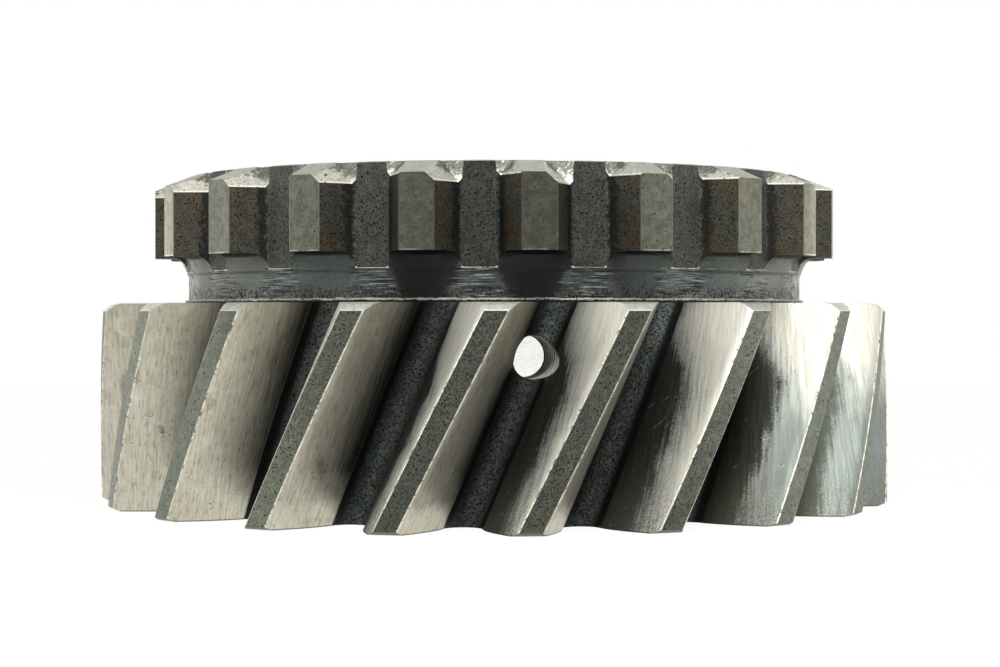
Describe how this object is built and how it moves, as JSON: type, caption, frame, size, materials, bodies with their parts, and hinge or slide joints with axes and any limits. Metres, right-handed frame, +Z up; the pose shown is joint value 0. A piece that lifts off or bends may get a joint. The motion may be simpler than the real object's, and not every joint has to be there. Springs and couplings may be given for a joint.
{
  "type": "helical transmission gear with clutch ring",
  "caption": "One-piece steel gear: right-hand helical teeth below, a turned neck, and a ring of straight dog-clutch teeth with sharpened ends above, on a smooth through bore.",
  "frame": {"origin": "on the gear's axis, at its lower face", "axes": "+Z up the axis from the helical teeth to the clutch ring, -Y towards the viewer of the picture"},
  "size_m": [0.0902, 0.0902, 0.0367],
  "materials": {
    "gear_steel": "worn ground steel, bright on the flanks and dark in the roots"
  },
  "bodies": {
    "root": {"transmission_gear": "gear_steel"}
  },
  "joints": []
}
